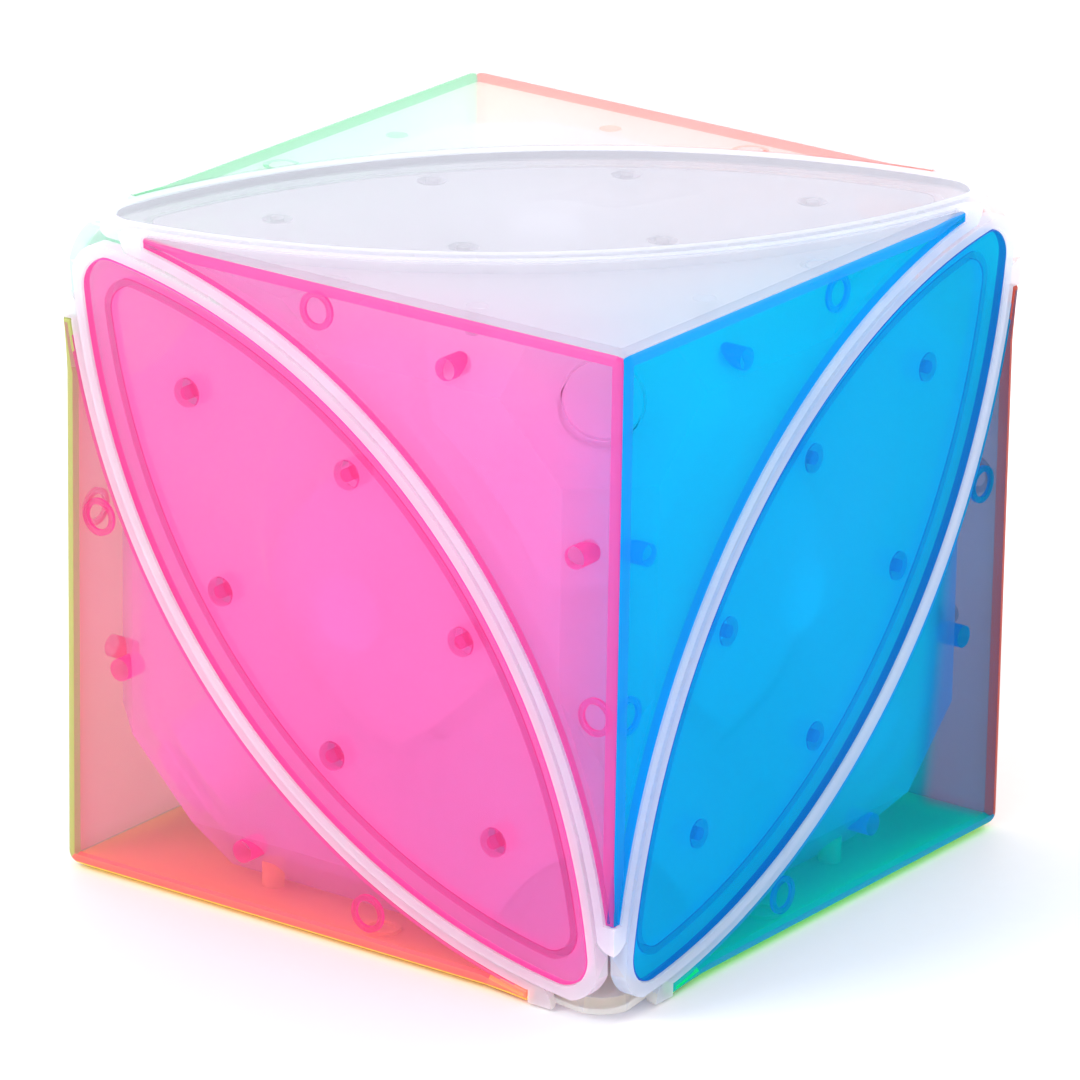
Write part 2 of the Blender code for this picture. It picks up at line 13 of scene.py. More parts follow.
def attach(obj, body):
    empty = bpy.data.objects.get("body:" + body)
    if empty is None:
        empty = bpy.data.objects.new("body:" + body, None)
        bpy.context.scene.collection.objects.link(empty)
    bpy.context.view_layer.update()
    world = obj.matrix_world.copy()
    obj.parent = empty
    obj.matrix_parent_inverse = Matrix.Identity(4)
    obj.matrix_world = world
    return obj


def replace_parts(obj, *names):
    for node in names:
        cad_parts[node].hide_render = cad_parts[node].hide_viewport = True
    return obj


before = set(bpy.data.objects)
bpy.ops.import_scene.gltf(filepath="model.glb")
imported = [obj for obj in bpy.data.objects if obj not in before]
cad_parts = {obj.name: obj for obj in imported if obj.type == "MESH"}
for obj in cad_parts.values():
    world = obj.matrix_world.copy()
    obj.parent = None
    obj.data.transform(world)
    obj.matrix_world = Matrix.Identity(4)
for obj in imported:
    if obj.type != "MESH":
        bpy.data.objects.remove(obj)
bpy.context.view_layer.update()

MM = 0.001

# Sizes of the CAD design
HALF = 28.0
LEAF_HALF = 28.25
TURN_GAP = 0.07
FIT_GAP = 0.1
PAST = 1.0               # how far a cutting solid runs past what it cuts
CUT_CENTRE = 29.66
CUT_RADIUS = 56.66
FOOT_REACH = 2.2
SIDE_CENTRE = CUT_CENTRE * math.sqrt(2)
CORE_RADIUS = 18.9
CORE_HOLLOW_RADIUS = 15.0
FOOT_INNER_RADIUS = 19.4
FOOT_OUTER_RADIUS = 22.9
SHELL_INNER_RADIUS = 23.5

LEAF_TIP = 36.35
LEAF_TIP_RADIUS = 3.6
TILE_TIP = 35.05
TILE_TIP_RADIUS = 2.6
LEAF_TILE_TOP = 28.2
LEAF_TILE_THICKNESS = 0.8
LEAF_FLOOR = 1.1
LEAF_WALL = 1.4
LEAF_PEG_RADIUS = 1.2
LEAF_PEG_BORE = 0.55
LEAF_PEG_LENGTH = 2.0
LEAF_PEG_PLACES = [(22.0, 0.0), (8.1, 9.0), (8.1, -9.0), (-8.1, 9.0), (-8.1, -9.0), (-22.0, 0.0)]
FOOT_BOSS_RADIUS = 3.2
FOOT_BOSS_ROOT = 1.5
LEAF_LOWEST = 5.0

ARM_END = 22.0
ARM_ROUND = 2.0          # radius of an arm's rounded end
TILE_ARM_END = 19.6
CORNER_RIM = 0.75
CORNER_TILE_THICKNESS = 1.0
MITRE_GAP = 0.03
CORNER_WALL = 1.4
PLATE_INSET = 6.5
VERTEX_CHAMFER = 20.3
CHANNEL_STOP = 3.0
CORNER_PEG_RADIUS = 0.95
CORNER_PEG_LENGTH = 2.2
CORNER_PEG_PLACE = (18.0, 5.2)
PEG_END_GAP = 0.3
PEG_ROOT = 0.3
BOSS_RADIUS = 1.6
BOSS_BORE_RADIUS = 1.1
BOSS_LENGTH = 0.3
BOSS_PLACE = (30.8, 3.0)
EDGE_ROUND = 1.2         # rounding of the cube's edges, which shows as a deeper coloured strip
EDGE_STEPS = 7
LEAN_END = math.radians(88.5)    # where that rounding runs out into the flat face
VERTEX_STEPS = 4
UNDER_ROUND = 0.3        # rounding of the tile's underside at the cube's vertex
TIP_ROUND = 0.35         # what that rounding tapers to at the arms' tips
TAPER_START = 43.0       # along the edge from the vertex
RIM_ROUND = 0.35         # rounding of a corner tile's concave edge
ARM_LEAST_WIDTH = 0.05
RIB_INSET = 2.3          # from a leaf tile's edge to the rib under it
RIB_WIDTH = 0.6
RIB_DEPTH = 0.9

SCREW_TIP = 12.5
STEM_BOTTOM = 21.3
HUB_FLOOR_BOTTOM = 23.9
HUB_FLOOR_TOP = 25.4
SPRING_BOTTOM = 25.9
SPRING_TOP = 30.2
WASHER_BOTTOM = 30.7
WASHER_TOP = 31.3
HEAD_BOTTOM = 31.5
HEAD_TOP = 33.4
TOWER_TOP = 34.3
ACCESS_TOP = 40.0
SLOT_LENGTH = 3.6
SLOT_WIDTH = 0.7
SLOT_DEPTH = 1.1
SCREW_BEVEL = 0.4
SHAFT_RADIUS = 1.4
SHAFT_HOLE_RADIUS = 1.7
STEM_RADIUS = 2.9
HEAD_RADIUS = 2.9
SPRING_RADIUS = 2.35
SPRING_WIRE_RADIUS = 0.35
SPRING_TURNS = 3
TOWER_RADIUS = 4.5
HUB_REACH = 12.0
TOWER_BORE_RADIUS = 3.3
ACCESS_RADIUS = 3.4
CAP_RADIUS = 3.2
CAP_BOTTOM = 35.4
CAP_TOP = 36.7

# Which faces take which material
FLAT_ON = 0.95           # normal to a tile's direction, for a face that lies flat on it
FLAT_ON_LEAF = 0.9
SLACK = 0.02             # how far under a surface a face counts as below it
RIM_BAND = 0.9           # depth of the rims on the frosted shells that are painted with their tile's coloured light

# Smoothness of what is drawn here
BALL_SEGMENTS = 128
HOLLOW_SEGMENTS = 64
ARC_STEPS = 56
TIP_STEPS = 14
PEG_SIDES = 28
ROD_SIDES = 40
SPRING_STEPS = 28
WIRE_SIDES = 10
BASE_ROUNDING = 0.25     # widths of the rounded edges
LEAF_BASE_ROUNDING = 0.28
LEAF_TILE_ROUNDING = 0.22
HUB_ROUNDING = 0.15
CAP_ROUNDING = 0.2
WASHER_ROUNDING = 0.1
SCREW_ROUNDING = 0.08
SHARP_ANGLE = math.radians(32)
FLAT_ANGLE = math.radians(0.1)
WELD = 0.002

CORNERS = {"a": (1, -1, 1), "b": (-1, 1, 1), "c": (-1, -1, -1), "d": (1, 1, -1)}
FACES = {"top": (0, 0, 1), "bottom": (0, 0, -1), "front": (0, -1, 0),
         "back": (0, 1, 0), "right": (1, 0, 0), "left": (-1, 0, 0)}
TILE_SLOTS = {"top": "tile_white", "bottom": "tile_yellow", "front": "tile_pink",
              "back": "tile_orange", "right": "tile_blue", "left": "tile_green"}


# ---------------------------------------------------------------- drawing tools, in millimetres

def object_from(bm, name):
    bmesh.ops.recalc_face_normals(bm, faces=bm.faces)
    if bm.calc_volume(signed=True) < 0:
        bmesh.ops.reverse_faces(bm, faces=bm.faces)
    mesh = bpy.data.meshes.new(name)
    bm.to_mesh(mesh)
    bm.free()
    obj = bpy.data.objects.new(name, mesh)
    bpy.context.scene.collection.objects.link(obj)
    return obj


def loft(rings, name="loft"):
    """A closed solid through rings with the same number of points."""
    bm = bmesh.new()
    rows = [[bm.verts.new(point) for point in ring] for ring in rings]
    bm.faces.new(rows[0])
    bm.faces.new(rows[-1])
    count = len(rows[0])
    for low, high in zip(rows, rows[1:]):
        for i in range(count):
            j = (i + 1) % count
            bm.faces.new((low[i], low[j], high[j], high[i]))
    return object_from(bm, name)


def prism(outline, bottom, top, name="prism"):
    return loft([[(x, y, z) for x, y in outline] for z in (bottom, top)], name)


def ball(centre, radius, segments=BALL_SEGMENTS):
    bm = bmesh.new()
    bmesh.ops.create_uvsphere(bm, u_segments=segments, v_segments=segments // 2, radius=radius)
    centre = Vector(centre)
    pole = centre if centre.length > 0 else Vector((1, 1, 0.03))
    bm.transform(Matrix.Translation(centre) @ pole.to_track_quat("Z", "Y").to_matrix().to_4x4())
    return object_from(bm, "ball")


def cut_ball(corner, radius):
    return ball([sign * CUT_CENTRE for sign in CORNERS[corner]], radius)


def turned(profile, axis):
    """A solid turned about a line through the origin, from a closed profile of (radius, distance)."""
    bm = bmesh.new()
    points = [bm.verts.new((radius, 0, distance)) for radius, distance in profile]
    edges = [bm.edges.new((points[i], points[(i + 1) % len(points)])) for i in range(len(points))]
    bmesh.ops.spin(bm, geom=points + edges, cent=(0, 0, 0), axis=(0, 0, 1),
                   angle=2 * math.pi, steps=ROD_SIDES, use_duplicate=False)
    bmesh.ops.remove_doubles(bm, verts=bm.verts, dist=0.001)
    flat = [face for face in bm.faces if face.calc_area() < 1e-9]
    bmesh.ops.delete(bm, geom=flat, context="FACES_ONLY")
    bm.transform(Vector(axis).to_track_quat("Z", "Y").to_matrix().to_4x4())
    return object_from(bm, "turned")


def rod(radius, start, end, axis):
    return turned([(0, start), (radius, start), (radius, end), (0, end)], axis)


def post(place, radius, bottom, top, sides=PEG_SIDES):
    turns = [2 * math.pi * (i + 0.5) / sides for i in range(sides)]
    outline = [(place[0] + radius * math.cos(t), place[1] + radius * math.sin(t)) for t in turns]
    return prism(outline, bottom, top, "post")


def bake(obj):
    """Apply an object's modifiers to its mesh."""
    depsgraph = bpy.context.evaluated_depsgraph_get()
    result = bpy.data.meshes.new_from_object(obj.evaluated_get(depsgraph))
    obj.modifiers.clear()
    obj.data = result
    return obj


def combine(body, operation, tools):
    for tool in tools:
        modifier = body.modifiers.new(operation, "BOOLEAN")
        modifier.operation = operation
        modifier.solver = "EXACT"
        modifier.object = tool
        bake(body)
        bpy.data.objects.remove(tool, do_unlink=True)
    return body


def cut(body, *tools):
    return combine(body, "DIFFERENCE", tools)


def trim(body, *tools):
    return combine(body, "INTERSECT", tools)


def join(body, *tools):
    return combine(body, "UNION", tools)


def rounded(obj, width, segments=3):
    """Tidy a cut mesh and round its sharp edges."""
    bm = bmesh.new()
    bm.from_mesh(obj.data)
    bmesh.ops.remove_doubles(bm, verts=bm.verts, dist=WELD)
    bmesh.ops.dissolve_degenerate(bm, edges=bm.edges, dist=WELD)
    bmesh.ops.dissolve_limit(bm, angle_limit=FLAT_ANGLE, verts=bm.verts, edges=bm.edges)
    bm.to_mesh(obj.data)
    bm.free()
    bevel = obj.modifiers.new("round", "BEVEL")
    bevel.width = width
    bevel.segments = segments
    bevel.limit_method = "ANGLE"
    bevel.angle_limit = SHARP_ANGLE
    bevel.use_clamp_overlap = True
    return bake(obj)


# ---------------------------------------------------------------- the leaf, drawn on the top face

def on_leaf(along, across):
    return ((along - across) / math.sqrt(2), (along + across) / math.sqrt(2))


def lens_outline(tip, tip_radius):
    tip_centre = tip - tip_radius
    side_radius = math.hypot(SIDE_CENTRE, tip_centre) + tip_radius
    lean = math.atan2(SIDE_CENTRE, tip_centre)
    arcs = [(0, -SIDE_CENTRE, side_radius, lean, math.pi - lean, ARC_STEPS),
            (-tip_centre, 0, tip_radius, math.pi - lean, math.pi + lean, TIP_STEPS),
            (0, SIDE_CENTRE, side_radius, math.pi + lean, 2 * math.pi - lean, ARC_STEPS),
            (tip_centre, 0, tip_radius, -lean, lean, TIP_STEPS)]
    outline = []
    for along, across, radius, first, last, count in arcs:
        for i in range(count):
            angle = first + (last - first) * i / count
            outline.append(on_leaf(along + radius * math.cos(angle), across + radius * math.sin(angle)))
    return outline


def leaf_block(inset, top, inner_radius):
    block = prism(lens_outline(LEAF_TIP - inset, LEAF_TIP_RADIUS - inset), LEAF_LOWEST, top, "leaf")
    own_radius = CUT_RADIUS - TURN_GAP - inset
    other_radius = CUT_RADIUS + TURN_GAP + inset
    trim(block, cut_ball("a", own_radius), cut_ball("b", own_radius))
    cut(block, cut_ball("c", other_radius), cut_ball("d", other_radius))
    return cut(block, ball((0, 0, 0), inner_radius, HOLLOW_SEGMENTS))


def make_leaf_base():
    tray_floor = LEAF_TILE_TOP - LEAF_TILE_THICKNESS - FIT_GAP
    base = leaf_block(0, LEAF_HALF, SHELL_INNER_RADIUS)
    tray = lens_outline(TILE_TIP + FIT_GAP, TILE_TIP_RADIUS + FIT_GAP)
    cut(base, prism(tray, tray_floor, LEAF_HALF + PAST))
    cut(base, leaf_block(LEAF_WALL, tray_floor - LEAF_FLOOR, FOOT_INNER_RADIUS))
    rounded(base, LEAF_BASE_ROUNDING)
    rib_depth = LEAF_TILE_TOP - LEAF_TILE_THICKNESS - RIB_DEPTH - FIT_GAP
    groove = prism(lens_outline(TILE_TIP - RIB_INSET + FIT_GAP, TILE_TIP_RADIUS), rib_depth, LEAF_HALF)
    inner = lens_outline(TILE_TIP - RIB_INSET - RIB_WIDTH - FIT_GAP, TILE_TIP_RADIUS - RIB_WIDTH)
    cut(base, cut(groove, prism(inner, rib_depth - PAST, LEAF_HALF + PAST)))
    hole_end = LEAF_TILE_TOP - LEAF_TILE_THICKNESS - LEAF_PEG_LENGTH - PEG_END_GAP
    for along, across in LEAF_PEG_PLACES:
        cut(base, post(on_leaf(along, across), LEAF_PEG_RADIUS + FIT_GAP, hole_end, LEAF_HALF))
    return base


def make_leaf_tile():
    bottom = LEAF_TILE_TOP - LEAF_TILE_THICKNESS
    tile = prism(lens_outline(TILE_TIP, TILE_TIP_RADIUS), bottom, LEAF_TILE_TOP, "leaf_tile")
    rounded(tile, LEAF_TILE_ROUNDING)
    rib = prism(lens_outline(TILE_TIP - RIB_INSET, TILE_TIP_RADIUS), bottom - RIB_DEPTH, bottom + PEG_ROOT)
    inner = lens_outline(TILE_TIP - RIB_INSET - RIB_WIDTH, TILE_TIP_RADIUS - RIB_WIDTH)
    join(tile, cut(rib, prism(inner, bottom - RIB_DEPTH - PAST, bottom)))
    for along, across in LEAF_PEG_PLACES:
        place = on_leaf(along, across)
        peg = post(place, LEAF_PEG_RADIUS, bottom - LEAF_PEG_LENGTH, bottom + PEG_ROOT)
        cut(peg, post(place, LEAF_PEG_BORE, bottom - LEAF_PEG_LENGTH - PAST, bottom))
        join(tile, peg)
    return tile


def make_leaf_foot():
    own_radius = CUT_RADIUS + FOOT_REACH - TURN_GAP
    other_radius = CUT_RADIUS + FOOT_REACH + TURN_GAP
    half = FOOT_OUTER_RADIUS
    slab = [(-half, -half), (half, -half), (half, half), (-half, half)]
    foot = prism(slab, LEAF_LOWEST, half + PAST, "leaf_foot")
    trim(foot, ball((0, 0, 0), FOOT_OUTER_RADIUS, HOLLOW_SEGMENTS))
    trim(foot, *(cut_ball(corner, own_radius) for corner in "ab"))
    cut(foot, ball((0, 0, 0), FOOT_INNER_RADIUS, HOLLOW_SEGMENTS))
    cut(foot, *(cut_ball(corner, other_radius) for corner in "cd"))
    boss_top = LEAF_TILE_TOP - LEAF_TILE_THICKNESS - LEAF_FLOOR - 2 * FIT_GAP
    join(foot, post((0, 0), FOOT_BOSS_RADIUS, FOOT_OUTER_RADIUS - FOOT_BOSS_ROOT, boss_top, ROD_SIDES))
    return rounded(foot, BASE_ROUNDING, 2)


# ---------------------------------------------------------------- the corner, drawn at vertex "a"

def from_vertex(a, b, depth):
    return (HALF - a, -HALF + b, HALF - depth)


def third_turn(turns):
    return Matrix.Rotation(turns * 2 * math.pi / 3, 4, Vector(CORNERS["a"]))


def around_corner(make):
    solids = []
    for turns in range(3):
        solid = make()
        solid.data.transform(third_turn(turns))
        solids.append(solid)
    return solids


def tile_arc(edge, growth, end):
    """The tile's concave edge, held off the cube's edge where the arm gets thin."""
    centre = HALF + CUT_CENTRE
    radius = CUT_RADIUS + TURN_GAP + CORNER_RIM + FIT_GAP - growth
    reach = math.acos((centre - HALF - end) / radius)
    first = math.pi + reach
    last = 1.5 * math.pi - reach
    angles = [first + (last - first) * i / ARC_STEPS for i in range(ARC_STEPS + 1)]
    least = edge + ARM_LEAST_WIDTH
    return [(max(least, centre + radius * math.cos(t)), max(least, centre + radius * math.sin(t)))
            for t in angles]


def tile_ring(edge, growth, end, depth, far_edge=None, vertex=None):
    """The tile's outline at a depth. far_edge is the distance from the cube's edge at the arms' tips.

    vertex is the points that round off the cube's vertex, each with its own depth.
    """
    far = edge if far_edge is None else far_edge
    flat = [(TAPER_START, edge), (HALF + end, far)] + tile_arc(far, growth, end)
    flat += [(far, HALF + end), (edge, TAPER_START)]
    start = vertex or [(edge, edge, depth)]
    return [from_vertex(*point) for point in start + [(a, b, depth) for a, b in flat]]


def vertex_points(lean):
    """Points over the rounded vertex, from one edge's rounding to the other's, at one lean."""
    shares = [i / VERTEX_STEPS for i in range(VERTEX_STEPS + 1)]
    ways = [(1.0, share) for share in shares] + [(share, 1.0) for share in reversed(shares[:-1])]
    points = []
    for a, b in ways:
        way = Vector((a * math.cos(lean), b * math.cos(lean), math.sin(lean))).normalized() * EDGE_ROUND
        centre = MITRE_GAP + EDGE_ROUND
        points.append((centre - way.x, centre - way.y, EDGE_ROUND - way.z))
    return points


def vertex_under(edge, depth):
    """The same number of points round the vertex of the flat underside."""
    lean = [math.pi / 4 * i / VERTEX_STEPS for i in range(2 * VERTEX_STEPS + 1)]
    return [(edge + UNDER_ROUND * (1 - math.cos(t)), edge + UNDER_ROUND * (1 - math.sin(t)), depth)
            for t in lean]


def make_corner_tile():
    thickness = CORNER_TILE_THICKNESS
    under_edge = MITRE_GAP + thickness
    rings = [tile_ring(under_edge, 0.0, TILE_ARM_END, thickness, MITRE_GAP + TIP_ROUND,
                       vertex_under(under_edge, thickness))]
    for i in range(EDGE_STEPS + 1):
        lean = math.pi / 4 + (LEAN_END - math.pi / 4) * i / EDGE_STEPS
        inward = 1 - math.cos(lean)
        depth = EDGE_ROUND * (1 - math.sin(lean))
        lift = max(0.0, RIM_ROUND - depth)
        drop = RIM_ROUND - math.sqrt(RIM_ROUND ** 2 - lift ** 2)
        rings.append(tile_ring(MITRE_GAP + EDGE_ROUND * inward, -drop, TILE_ARM_END - drop, depth,
                               MITRE_GAP + TIP_ROUND * inward, vertex_points(lean)))
    tile = loft(rings, "corner_tile")
    under = HALF - thickness
    for a, b in (CORNER_PEG_PLACE, CORNER_PEG_PLACE[::-1]):
        place = from_vertex(a, b, 0)[:2]
        join(tile, post(place, CORNER_PEG_RADIUS, under - CORNER_PEG_LENGTH, under + PEG_ROOT))
    for a, b in (BOSS_PLACE, BOSS_PLACE[::-1]):
        place = from_vertex(a, b, 0)[:2]
        boss = post(place, BOSS_RADIUS, under - BOSS_LENGTH, under + PEG_ROOT)
        join(tile, cut(boss, post(place, BOSS_BORE_RADIUS, under - BOSS_LENGTH - PAST, under)))
    return tile


def tile_pocket():
    end = TILE_ARM_END + FIT_GAP
    return loft([tile_ring(-PAST, FIT_GAP, end, CORNER_TILE_THICKNESS + FIT_GAP),
                 tile_ring(-PAST, FIT_GAP, end, -PAST)], "pocket")


def edge_channel():
    sum_of_depths = PLATE_INSET + CORNER_TILE_THICKNESS + FIT_GAP
    far = sum_of_depths + PAST
    section = [(-PAST, -PAST), (far, -PAST), (-PAST, far)]
    end = HALF + TILE_ARM_END - CHANNEL_STOP
    channel = loft([[from_vertex(place, b, depth) for b, depth in section]
                    for place in (-2 * PAST, end)], "channel")
    wall_radius = CUT_RADIUS + TURN_GAP + CORNER_WALL
    return cut(channel, *(cut_ball(corner, wall_radius) for corner in "bc"))


def vertex_cutter(sum_of_depths):
    far = sum_of_depths + 2 * PAST
    bm = bmesh.new()
    places = [(-PAST, -PAST, -PAST), (far, -PAST, -PAST), (-PAST, far, -PAST), (-PAST, -PAST, far)]
    corners = [bm.verts.new(from_vertex(*place)) for place in places]
    for missing in range(4):
        bm.faces.new([corner for i, corner in enumerate(corners) if i != missing])
    return object_from(bm, "vertex")


def part_cube(reach, face_depth):
    """A cube reaching a distance past the middle, away from the master vertex."""
    low, high = -reach, HALF - face_depth
    outline = [(low, -high), (high, -high), (high, reach), (low, reach)]
    return prism(outline, low, high, "corner")


def arm_ends():
    """Rounded ends of the three arms, within the cube."""
    def arm_end():
        return ball((HALF, -HALF, ARM_ROUND - ARM_END), ARM_ROUND, PEG_SIDES * 2)
    first, second, third = around_corner(arm_end)
    return trim(join(first, second, third), part_cube(ARM_END, 0))


def corner_hollow():
    face_depth = CORNER_TILE_THICKNESS + FIT_GAP + CORNER_WALL
    hollow = part_cube(HALF, face_depth)
    cut(hollow, *(cut_ball(other, CUT_RADIUS + TURN_GAP + CORNER_WALL) for other in "bcd"))
    cut(hollow, vertex_cutter(VERTEX_CHAMFER + CORNER_WALL * math.sqrt(3)))
    sum_of_depths = PLATE_INSET + CORNER_TILE_THICKNESS + FIT_GAP + CORNER_WALL * math.sqrt(2)
    far = sum_of_depths + PAST
    section = [(-PAST, -PAST), (far, -PAST), (-PAST, far)]

    def bevel_cutter():
        return loft([[from_vertex(place, b, depth) for b, depth in section]
                     for place in (-PAST, 2 * HALF + PAST)])
    return cut(hollow, *around_corner(bevel_cutter))


def make_corner_base():
    base = join(part_cube(ARM_END - ARM_ROUND, 0), arm_ends())
    cut(base, *(cut_ball(other, CUT_RADIUS + TURN_GAP) for other in "bcd"))
    cut(base, ball((0, 0, 0), SHELL_INNER_RADIUS, HOLLOW_SEGMENTS))
    cut(base, *around_corner(tile_pocket))
    cut(base, *around_corner(edge_channel))
    cut(base, vertex_cutter(VERTEX_CHAMFER))
    cut(base, corner_hollow())
    cut(base, rod(ACCESS_RADIUS, TOWER_TOP, ACCESS_TOP, CORNERS["a"]))
    return rounded(base, BASE_ROUNDING)


def make_corner_hub():
    reach = HUB_REACH
    span = [(-reach, -reach), (reach, -reach), (reach, reach), (-reach, reach)]
    hub = prism(span, HUB_FLOOR_BOTTOM, HUB_FLOOR_TOP, "corner_hub")
    hub.data.transform(Vector(CORNERS["a"]).to_track_quat("Z", "Y").to_matrix().to_4x4())
    wall = CUT_RADIUS + TURN_GAP + CORNER_WALL + FIT_GAP
    cut(hub, *(cut_ball(other, wall) for other in "bcd"))
    axis = CORNERS["a"]
    join(hub, rod(TOWER_RADIUS, HUB_FLOOR_TOP - PEG_ROOT, TOWER_TOP, axis))
    join(hub, rod(STEM_RADIUS, STEM_BOTTOM, HUB_FLOOR_BOTTOM + PEG_ROOT, axis))
    cut(hub, rod(TOWER_BORE_RADIUS, HUB_FLOOR_TOP, TOWER_TOP + PAST, axis))
    cut(hub, rod(SHAFT_HOLE_RADIUS, STEM_BOTTOM - PAST, HUB_FLOOR_TOP + PAST, axis))
    return rounded(hub, HUB_ROUNDING, 2)


def make_screw():
    axis = CORNERS["a"]
    bevel = SCREW_BEVEL
    profile = [(0, SCREW_TIP), (SHAFT_RADIUS - bevel, SCREW_TIP), (SHAFT_RADIUS, SCREW_TIP + bevel),
               (SHAFT_RADIUS, HEAD_BOTTOM), (HEAD_RADIUS, HEAD_BOTTOM), (HEAD_RADIUS, HEAD_TOP - bevel),
               (HEAD_RADIUS - bevel, HEAD_TOP), (0, HEAD_TOP)]
    screw = turned(profile, axis)
    across, along = SLOT_WIDTH / 2, SLOT_LENGTH / 2
    slot = [(-along, -across), (along, -across), (along, across), (-along, across)]
    for outline in (slot, [(y, x) for x, y in slot][::-1]):
        recess = prism(outline, HEAD_TOP - SLOT_DEPTH, HEAD_TOP + PAST, "recess")
        recess.data.transform(Vector(axis).to_track_quat("Z", "Y").to_matrix().to_4x4())
        cut(screw, recess)
    return rounded(screw, SCREW_ROUNDING, 2)


def make_cap():
    """Frosted plug over the screw, flush with the plate across the vertex."""
    return rounded(rod(CAP_RADIUS, CAP_BOTTOM, CAP_TOP, CORNERS["a"]), CAP_ROUNDING, 2)


def make_washer():
    profile = [(SHAFT_HOLE_RADIUS, WASHER_BOTTOM), (HEAD_RADIUS, WASHER_BOTTOM),
               (HEAD_RADIUS, WASHER_TOP), (SHAFT_HOLE_RADIUS, WASHER_TOP)]
    return rounded(turned(profile, CORNERS["a"]), WASHER_ROUNDING, 2)


def make_spring():
    turn_to_axis = Vector(CORNERS["a"]).to_track_quat("Z", "Y")
    count = SPRING_TURNS * SPRING_STEPS
    climb = (SPRING_TOP - SPRING_BOTTOM - 2 * SPRING_WIRE_RADIUS) / count
    rings = []
    for i in range(count + 1):
        angle = 2 * math.pi * i / SPRING_STEPS
        outward = Vector((math.cos(angle), math.sin(angle), 0))
        centre = outward * SPRING_RADIUS + Vector((0, 0, SPRING_BOTTOM + SPRING_WIRE_RADIUS + climb * i))
        ring = []
        for k in range(WIRE_SIDES):
            around = 2 * math.pi * k / WIRE_SIDES
            offset = outward * math.cos(around) + Vector((0, 0, math.sin(around)))
            ring.append(turn_to_axis @ (centre + offset * SPRING_WIRE_RADIUS))
        rings.append(ring)
    return loft(rings, "spring")


def make_core():
    core = ball((0, 0, 0), CORE_RADIUS, HOLLOW_SEGMENTS)
    cut(core, ball((0, 0, 0), CORE_HOLLOW_RADIUS, HOLLOW_SEGMENTS))
    for signs in CORNERS.values():
        cut(core, rod(SHAFT_HOLE_RADIUS, SCREW_TIP - PAST, CORE_RADIUS + PAST, signs))
    return rounded(core, BASE_ROUNDING, 2)


# ---------------------------------------------------------------- materials

def node_material(name):
    """A material with an empty node tree and its output."""
    material = bpy.data.materials.new(name)
    material.use_nodes = True
    tree = material.node_tree
    tree.nodes.clear()
    output = tree.nodes.new("ShaderNodeOutputMaterial")
    return material, tree, output


def noise_on_piece(tree, scale, detail):
    """Noise fixed to the piece itself."""
    coordinates = tree.nodes.new("ShaderNodeTexCoord")
    noise = tree.nodes.new("ShaderNodeTexNoise")
    noise.inputs["Scale"].default_value = scale
    noise.inputs["Detail"].default_value = detail
    tree.links.new(coordinates.outputs["Object"], noise.inputs["Vector"])
    return noise


def ranged(tree, value, low, high):
    """A noise value spread over a range."""
    spread = tree.nodes.new("ShaderNodeMapRange")
    spread.inputs["To Min"].default_value = low
    spread.inputs["To Max"].default_value = high
    tree.links.new(value, spread.inputs["Value"])
    return spread.outputs["Result"]


def uneven_roughness(tree, noise, roughness, wear):
    least, most = wear
    return ranged(tree, noise.outputs["Fac"], roughness * least, roughness * most)


def ramp(tree, direction, start, end, top=None):
    """Nought to top, or one, from start to end in millimetres along a direction on the piece."""
    coordinates = tree.nodes.new("ShaderNodeTexCoord")
    along = tree.nodes.new("ShaderNodeVectorMath")
    along.operation = "DOT_PRODUCT"
    along.inputs[1].default_value = direction
    tree.links.new(coordinates.outputs["Object"], along.inputs[0])
    rise = tree.nodes.new("ShaderNodeMapRange")
    rise.interpolation_type = "SMOOTHSTEP"
    rise.inputs["From Min"].default_value = start * MM
    rise.inputs["From Max"].default_value = end * MM
    tree.links.new(along.outputs["Value"], rise.inputs["Value"])
    if top is not None:
        tree.links.new(top, rise.inputs["To Max"])
    return rise.outputs["Result"]


def mixed_colour(tree, share, near, far):
    mix = tree.nodes.new("ShaderNodeMix")
    mix.data_type = "RGBA"
    mix.inputs["A"].default_value = (*near, 1.0)
    mix.inputs["B"].default_value = (*far, 1.0)
    tree.links.new(share, mix.inputs["Factor"])
    return mix.outputs["Result"]


